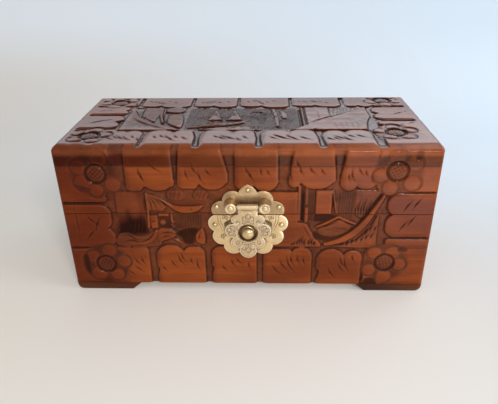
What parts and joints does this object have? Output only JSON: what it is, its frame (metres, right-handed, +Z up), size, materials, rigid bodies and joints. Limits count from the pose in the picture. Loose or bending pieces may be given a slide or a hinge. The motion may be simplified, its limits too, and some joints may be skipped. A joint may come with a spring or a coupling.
{
  "type": "jewelry box",
  "caption": "Rectangular carved wooden jewelry box with a hinged lid, corner feet, a brass flower latch with a hanging hasp, and a lift-out tray.",
  "frame": {"origin": "on the table, under the middle of the whole box with its latch and hinges", "axes": "+Z up, +X along the front to the right, -Y out of the front with the latch"},
  "size_m": [0.25, 0.1318, 0.11],
  "materials": {
    "lacquered_wood": "gloss lacquer over carved camphor wood",
    "plain_wood": "bare planed wood",
    "brass": "lightly tarnished sheet brass",
    "steel": "satin, brassed"
  },
  "bodies": {
    "box": {"body_front": "lacquered_wood", "body_back": "lacquered_wood", "body_left": "lacquered_wood", "body_right": "lacquered_wood", "body_bottom": "plain_wood", "foot_front_left": "lacquered_wood", "foot_front_right": "lacquered_wood", "foot_back_left": "lacquered_wood", "foot_back_right": "lacquered_wood", "bearer_left": "plain_wood", "bearer_right": "plain_wood", "latch_lower_plate": "brass", "latch_nail_lower_right": "brass", "latch_nail_lower_left": "brass", "latch_knob": "brass", "hinge_left_body_leaf": "brass", "hinge_left_pin": "steel", "hinge_left_body_screw_1": "steel", "hinge_left_body_screw_2": "steel", "hinge_right_body_leaf": "brass", "hinge_right_pin": "steel", "hinge_right_body_screw_1": "steel", "hinge_right_body_screw_2": "steel"},
    "lid": {"lid_front": "lacquered_wood", "lid_back": "lacquered_wood", "lid_left": "lacquered_wood", "lid_right": "lacquered_wood", "lid_top": "lacquered_wood", "latch_upper_plate": "brass", "latch_nail_crest": "brass", "latch_nail_upper_right": "brass", "latch_nail_upper_left": "brass", "latch_post_left": "brass", "latch_post_right": "brass", "latch_pin": "brass", "hinge_left_lid_leaf": "brass", "hinge_left_lid_screw_1": "steel", "hinge_left_lid_screw_2": "steel", "hinge_right_lid_leaf": "brass", "hinge_right_lid_screw_1": "steel", "hinge_right_lid_screw_2": "steel"},
    "hasp": {"hasp": "brass"},
    "tray": {"tray_bottom": "plain_wood", "tray_front": "plain_wood", "tray_back": "plain_wood", "tray_left": "plain_wood", "tray_right": "plain_wood", "tray_divider_left": "plain_wood", "tray_divider_right": "plain_wood"}
  },
  "joints": [
    {"name": "lid_hinge", "type": "hinge", "parent": "box", "child": "lid", "pos_m": [0, 0.06375, 0.0627], "axis": [-1, 0, 0], "range_deg": [0, 100]},
    {"name": "hasp_swing", "type": "hinge", "parent": "lid", "child": "hasp", "pos_m": [0.0009, -0.06075, 0.0702], "axis": [-1, 0, 0], "range_deg": [0, 170]},
    {"name": "tray_lift", "type": "slide", "parent": "box", "child": "tray", "axis": [0, 0, 1], "range_m": [0, 0.03]}
  ]
}
